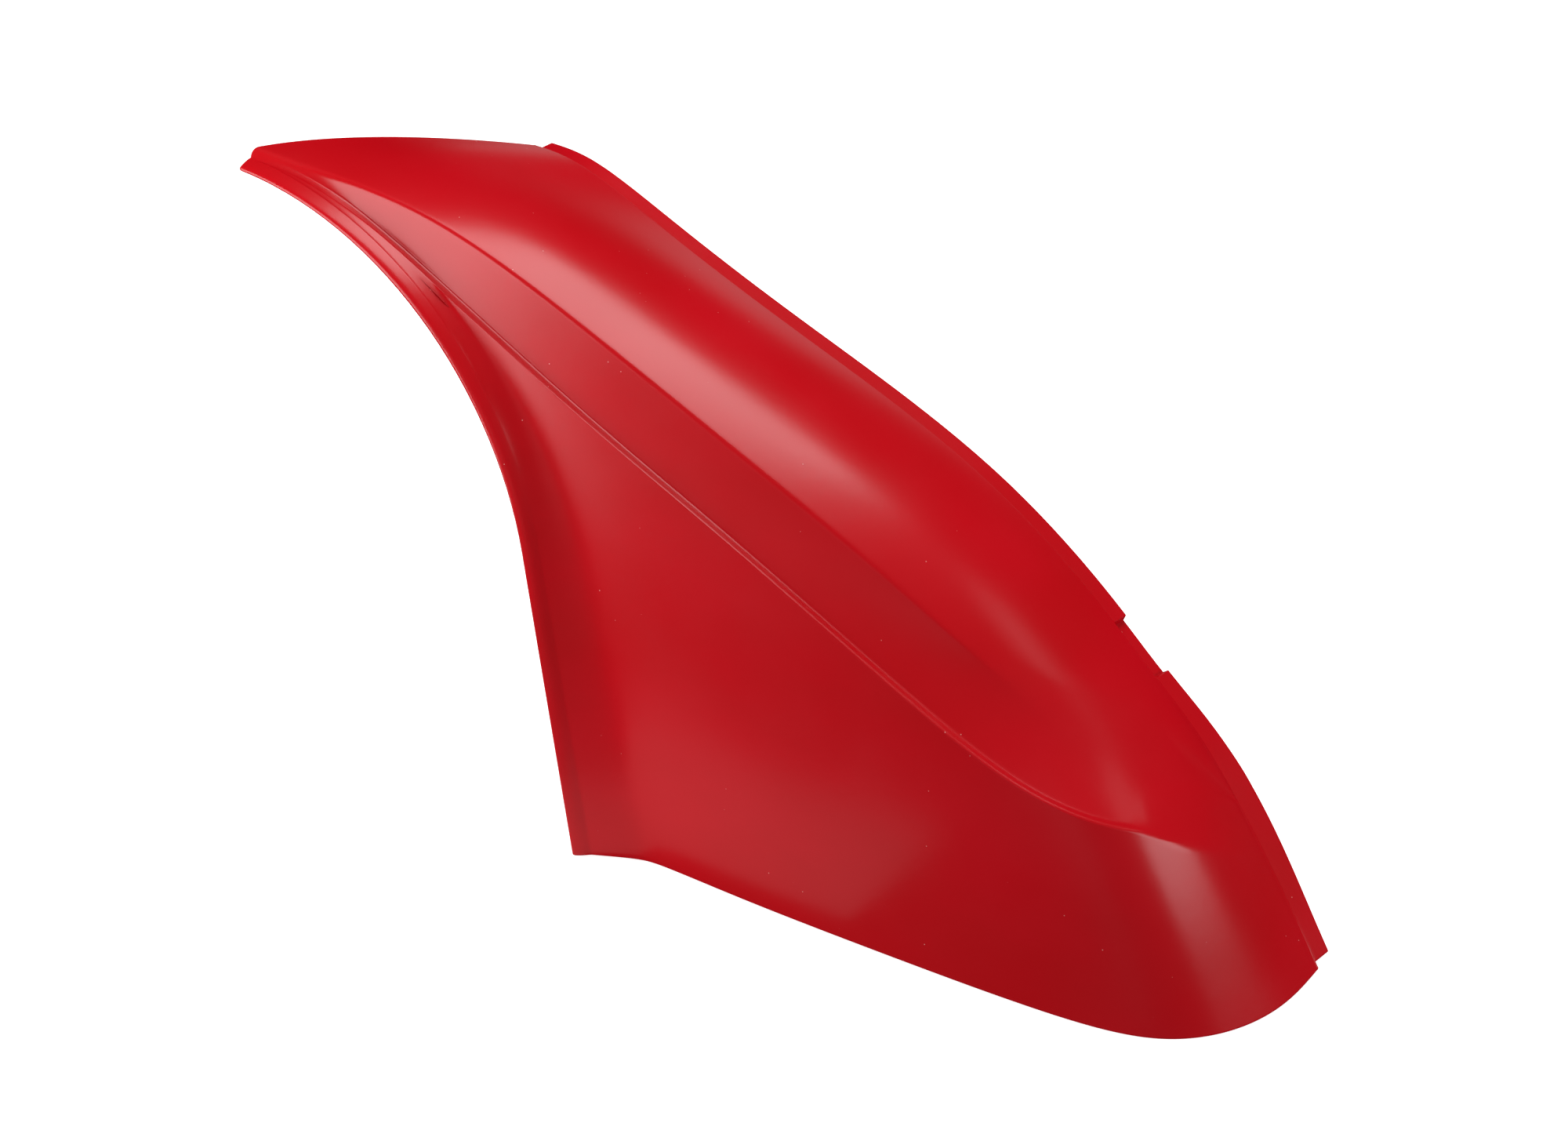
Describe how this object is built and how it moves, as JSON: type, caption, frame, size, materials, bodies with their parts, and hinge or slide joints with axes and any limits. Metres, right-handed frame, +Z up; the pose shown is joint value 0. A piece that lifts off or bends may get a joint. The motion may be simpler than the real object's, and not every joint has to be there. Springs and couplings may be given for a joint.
{
  "type": "racing rear wing",
  "caption": "Moulded left-hand rear wing panel of a small racing vehicle: wheel arch, scalloped side, crowned deck and joggled seam flange, with bonded brackets and quarter-turn pins inside.",
  "frame": {"origin": "on the ground plane of the bottom edge, under the middle of the part's bounding box", "axes": "+X rearward, along the panel; +Y inboard, away from the outer face; +Z up"},
  "size_m": [0.4969, 0.1446, 0.293],
  "materials": {
    "shell_plastic": "satin moulded, coloured through",
    "adhesive": "cured bonding paste",
    "stud_steel": "zinc plated",
    "rubber": "matt black",
    "zinc_steel": "bright zinc plated",
    "nylon_blue": "plain moulded",
    "bracket_aluminium": "rolled sheet, deburred",
    "nylon_white": "plain moulded",
    "spring_steel": "oiled",
    "pin_steel": "turned and plated",
    "bail_steel": "polished wire"
  },
  "bodies": {
    "wing": {"wing_shell": "shell_plastic", "bond_pads": "adhesive", "stud_plates": "stud_steel", "rubber_washers": "rubber", "penny_washers": "zinc_steel", "lock_nuts": "zinc_steel", "nut_inserts": "nylon_blue", "front_bracket": "bracket_aluminium", "rear_bracket": "bracket_aluminium", "skirt_bracket": "bracket_aluminium", "pin_bushes": "nylon_white", "spring_washers": "spring_steel"},
    "front_pin_body": {"front_pin": "pin_steel", "front_clip": "spring_steel"},
    "front_bail_body": {"front_bail": "bail_steel"},
    "rear_pin_body": {"rear_pin": "pin_steel", "rear_clip": "spring_steel"},
    "rear_bail_body": {"rear_bail": "bail_steel"},
    "skirt_pin_body": {"skirt_pin": "pin_steel", "skirt_clip": "spring_steel"},
    "skirt_bail_body": {"skirt_bail": "bail_steel"}
  },
  "joints": [
    {"name": "front_pin_turn", "type": "hinge", "parent": "wing", "child": "front_pin_body", "pos_m": [-0.04814, 0.00594, 0.19525], "axis": [0, 1, 0], "range_deg": [0, 90]},
    {"name": "front_bail_flip", "type": "hinge", "parent": "front_pin_body", "child": "front_bail_body", "pos_m": [-0.04814, 0.00084, 0.19525], "axis": [-1, 0, 0], "range_deg": [0, 180]},
    {"name": "rear_pin_turn", "type": "hinge", "parent": "wing", "child": "rear_pin_body", "pos_m": [0.04848, 0.02203, 0.14915], "axis": [0, 1, 0], "range_deg": [0, 90]},
    {"name": "rear_bail_flip", "type": "hinge", "parent": "rear_pin_body", "child": "rear_bail_body", "pos_m": [0.04848, 0.01693, 0.14915], "axis": [-1, 0, 0], "range_deg": [0, 180]},
    {"name": "skirt_pin_turn", "type": "hinge", "parent": "wing", "child": "skirt_pin_body", "pos_m": [-0.00796, -0.01541, 0.10081], "axis": [0, 1, 0], "range_deg": [0, 90]},
    {"name": "skirt_bail_flip", "type": "hinge", "parent": "skirt_pin_body", "child": "skirt_bail_body", "pos_m": [-0.00796, -0.02051, 0.10081], "axis": [-1, 0, 0], "range_deg": [0, 180]}
  ]
}
